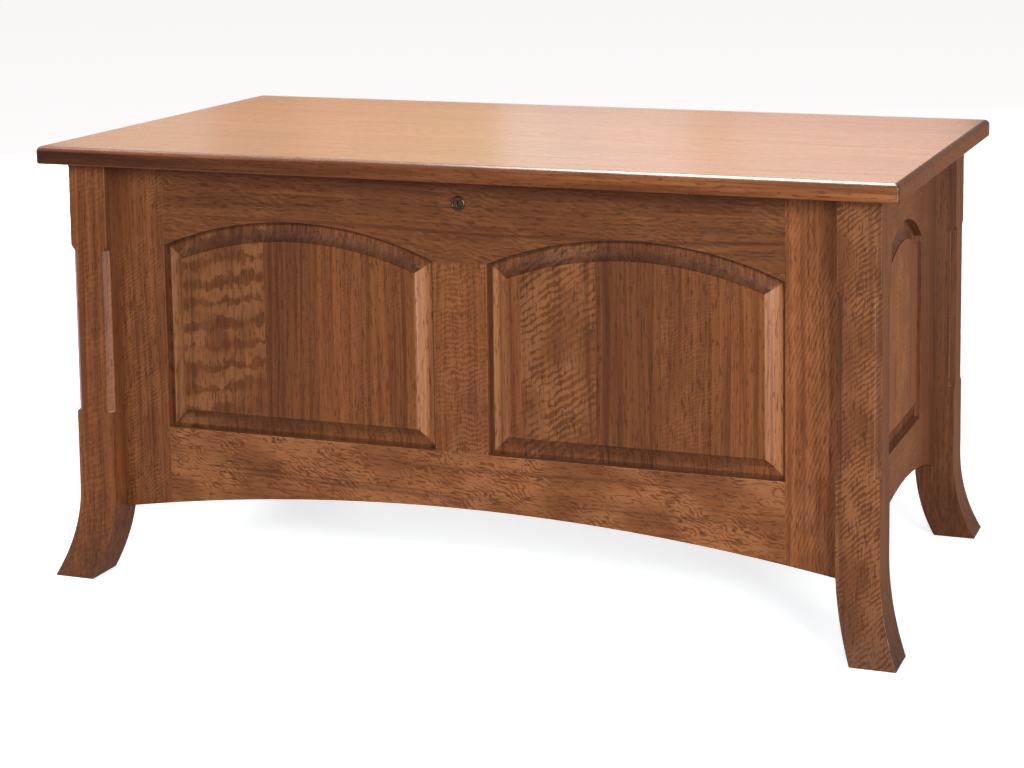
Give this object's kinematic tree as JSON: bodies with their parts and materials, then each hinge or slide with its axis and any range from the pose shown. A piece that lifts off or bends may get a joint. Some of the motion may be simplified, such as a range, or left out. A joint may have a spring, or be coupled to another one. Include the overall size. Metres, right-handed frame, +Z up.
{
  "type": "blanket chest",
  "caption": "Oak blanket chest with a hinged overhanging lid, frame walls with arched raised panels, square legs with flared feet and a round cam lock.",
  "frame": {"origin": "on the floor, under the middle of the lid", "axes": "+X to the chest's right as seen from the front, +Y to its back, +Z up"},
  "size_m": [1.219, 0.655, 0.62],
  "materials": {
    "frame_oak": "reddish brown stain under satin lacquer, quartersawn flake",
    "panel_oak": "reddish brown stain under satin lacquer, glued boards with upright grain",
    "lid_oak": "reddish brown stain under glossier satin lacquer, grain along the length",
    "cedar": "bare sanded cedar",
    "hinge_brass": "antique brass plate, satin",
    "plated_steel": "zinc plated, satin",
    "black_steel": "black powder coat, satin",
    "lock_metal": "dark antiqued, worn bright on edges"
  },
  "bodies": {
    "chest": {"leg_front_left": "frame_oak", "leg_front_right": "frame_oak", "leg_rear_left": "frame_oak", "leg_rear_right": "frame_oak", "front_stile_left": "frame_oak", "front_stile_right": "frame_oak", "front_top_rail": "frame_oak", "front_bottom_rail": "frame_oak", "front_mullion": "frame_oak", "front_panel_left": "panel_oak", "front_panel_right": "panel_oak", "right_stile_front": "frame_oak", "right_stile_rear": "frame_oak", "right_top_rail": "frame_oak", "right_bottom_rail": "frame_oak", "right_panel": "panel_oak", "left_stile_front": "frame_oak", "left_stile_rear": "frame_oak", "left_top_rail": "frame_oak", "left_bottom_rail": "frame_oak", "left_panel": "panel_oak", "back_stile_left": "frame_oak", "back_stile_right": "frame_oak", "back_top_rail": "frame_oak", "back_bottom_rail": "frame_oak", "back_mullion": "frame_oak", "back_panel_left": "panel_oak", "back_panel_right": "panel_oak", "bottom_board": "cedar", "cleat_front": "frame_oak", "cleat_back": "frame_oak", "cleat_left": "frame_oak", "cleat_right": "frame_oak", "hinge_left_body_leaf": "hinge_brass", "hinge_left_pin": "hinge_brass", "hinge_middle_body_leaf": "hinge_brass", "hinge_middle_pin": "hinge_brass", "hinge_right_body_leaf": "hinge_brass", "hinge_right_pin": "hinge_brass", "support_left_housing": "black_steel", "support_right_housing": "black_steel", "lock_housing": "lock_metal", "lock_nut": "lock_metal"},
    "lid": {"lid_top": "lid_oak", "hinge_left_lid_leaf": "hinge_brass", "hinge_middle_lid_leaf": "hinge_brass", "hinge_right_lid_leaf": "hinge_brass", "support_left_lid_bracket": "black_steel", "support_right_lid_bracket": "black_steel", "lock_strike": "plated_steel"},
    "left_crank": {"support_left_crank": "plated_steel"},
    "left_link": {"support_left_link": "plated_steel"},
    "right_crank": {"support_right_crank": "plated_steel"},
    "right_link": {"support_right_link": "plated_steel"},
    "lock_barrel": {"lock_plug": "lock_metal", "lock_cam": "plated_steel"}
  },
  "joints": [
    {"name": "lid_hinge", "type": "hinge", "parent": "chest", "child": "lid", "pos_m": [0, 0.277, 0.59485], "axis": [-1, 0, 0], "range_deg": [0, 85]},
    {"name": "left_crank_pivot", "type": "hinge", "parent": "chest", "child": "left_crank", "pos_m": [-0.519, 0.195, 0.44485], "axis": [-1, 0, 0], "range_deg": [0, 85]},
    {"name": "left_link_pivot", "type": "hinge", "parent": "lid", "child": "left_link", "pos_m": [-0.5155, 0.177, 0.58085], "axis": [-1, 0, 0], "range_deg": [-85, 0]},
    {"name": "right_crank_pivot", "type": "hinge", "parent": "chest", "child": "right_crank", "pos_m": [0.519, 0.195, 0.44485], "axis": [-1, 0, 0], "range_deg": [0, 85]},
    {"name": "right_link_pivot", "type": "hinge", "parent": "lid", "child": "right_link", "pos_m": [0.5155, 0.177, 0.58085], "axis": [-1, 0, 0], "range_deg": [-85, 0]},
    {"name": "lock_turn", "type": "hinge", "parent": "chest", "child": "lock_barrel", "pos_m": [0, -0.235, 0.5575], "axis": [0, 1, 0], "range_deg": [0, 90]}
  ],
  "couplings": [
    {"joint": "left_crank_pivot", "follows": "lid_hinge", "ratio": 1},
    {"joint": "left_link_pivot", "follows": "lid_hinge", "ratio": -1},
    {"joint": "right_crank_pivot", "follows": "lid_hinge", "ratio": 1},
    {"joint": "right_link_pivot", "follows": "lid_hinge", "ratio": -1}
  ]
}
